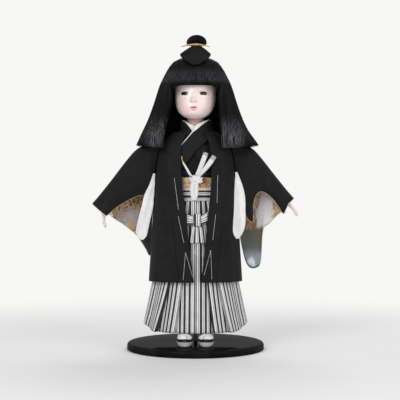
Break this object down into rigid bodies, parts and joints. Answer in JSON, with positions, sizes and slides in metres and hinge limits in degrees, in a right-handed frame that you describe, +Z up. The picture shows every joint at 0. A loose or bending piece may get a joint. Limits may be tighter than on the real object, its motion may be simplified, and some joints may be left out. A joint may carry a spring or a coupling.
{
  "type": "ichimatsu doll",
  "caption": "Boy ichimatsu doll in black coat and striped pleated trousers, with long straight hair and a topknot, standing on a round lacquered board.",
  "frame": {"origin": "centre of the stand board's underside", "axes": "+Z up, -Y the way the doll faces, +X the doll's left"},
  "size_m": [0.3095, 0.21, 0.4805],
  "materials": {
    "lacquer": "black lacquer, polished",
    "bare_wood": "bare softwood, sanded",
    "steel": "plain steel",
    "sole": "pale lavender grey, smooth",
    "white_cloth": "plain white silk and cotton",
    "black_cloth": "black silk crepe, matt",
    "brocade": "gold and silver woven brocade",
    "striped_silk": "black, white and grey stripes",
    "white_cord": "white braided silk",
    "painted_skin": "shell-white paint with a soft sheen",
    "eye_glass": "black glass, glossy",
    "hair": "black silk hair strands",
    "gold_cord": "gold cord"
  },
  "bodies": {
    "stand": {"stand_board": "lacquer", "support_post": "bare_wood", "post_screw": "steel"},
    "doll": {"torso": "bare_wood", "shoulder_wire": "steel", "left_leg": "bare_wood", "right_leg": "bare_wood", "left_zori_sole": "sole", "right_zori_sole": "sole", "left_tabi": "white_cloth", "right_tabi": "white_cloth", "left_zori_thong": "black_cloth", "right_zori_thong": "black_cloth", "kimono_body": "black_cloth", "under_collar": "white_cloth", "kimono_collar": "black_cloth", "obi": "brocade", "hakama_front": "striped_silk", "hakama_back": "striped_silk", "hakama_waistband": "striped_silk", "hakama_bow_knot": "striped_silk", "left_hakama_bow_wing": "striped_silk", "right_hakama_bow_wing": "striped_silk", "hakama_bow_tail": "striped_silk", "haori_back": "black_cloth", "left_haori_front": "black_cloth", "right_haori_front": "black_cloth", "left_haori_collar": "black_cloth", "right_haori_collar": "black_cloth", "cord_knot": "white_cord", "right_cord_strand": "white_cord", "upper_cord_tassel": "white_cord", "lower_cord_tassel": "white_cord", "hanging_cord_loop": "white_cord", "left_cord_hook": "white_cord", "right_cord_hook": "white_cord"},
    "head": {"head": "painted_skin", "left_eye": "eye_glass", "right_eye": "eye_glass", "hair_cap": "hair", "hair_fringe": "hair", "left_hair_fall": "hair", "right_hair_fall": "hair", "back_hair_fall": "hair", "topknot_root": "hair", "topknot_loop": "hair", "topknot_tail": "hair", "topknot_tie": "gold_cord"},
    "left_arm": {"left_arm": "white_cloth", "left_arm_wire": "steel", "left_haori_sleeve": "black_cloth", "left_sleeve_lining": "brocade", "left_under_sleeve": "white_cloth"},
    "right_arm": {"right_arm": "white_cloth", "right_arm_wire": "steel", "right_haori_sleeve": "black_cloth", "right_sleeve_lining": "brocade", "right_under_sleeve": "white_cloth"},
    "left_hand": {"left_hand": "painted_skin"},
    "right_hand": {"right_hand": "painted_skin"}
  },
  "joints": [
    {"name": "doll_lift", "type": "slide", "parent": "stand", "child": "doll", "axis": [0, 0, 1], "range_m": [0, 0.22]},
    {"name": "head_turn", "type": "hinge", "parent": "doll", "child": "head", "pos_m": [0, -0.004, 0.33], "axis": [0, 0, 1], "range_deg": [-12, 12], "deforming": ["left_hair_fall", "right_hair_fall", "back_hair_fall"]},
    {"name": "left_shoulder_raise", "type": "hinge", "parent": "doll", "child": "left_arm", "pos_m": [0.05198, 0, 0.3069], "axis": [0, -1, 0], "range_deg": [0, 12]},
    {"name": "right_shoulder_raise", "type": "hinge", "parent": "doll", "child": "right_arm", "pos_m": [-0.05198, 0, 0.3069], "axis": [0, 1, 0], "range_deg": [0, 12]},
    {"name": "left_hand_twist", "type": "hinge", "parent": "left_arm", "child": "left_hand", "pos_m": [0.13221, -0.0072, 0.23469], "axis": [0.6434, 0, -0.7655], "range_deg": [-10, 10]},
    {"name": "right_hand_twist", "type": "hinge", "parent": "right_arm", "child": "right_hand", "pos_m": [-0.13883, -0.0072, 0.2276], "axis": [-0.6361, 0, -0.7716], "range_deg": [-10, 10]}
  ]
}
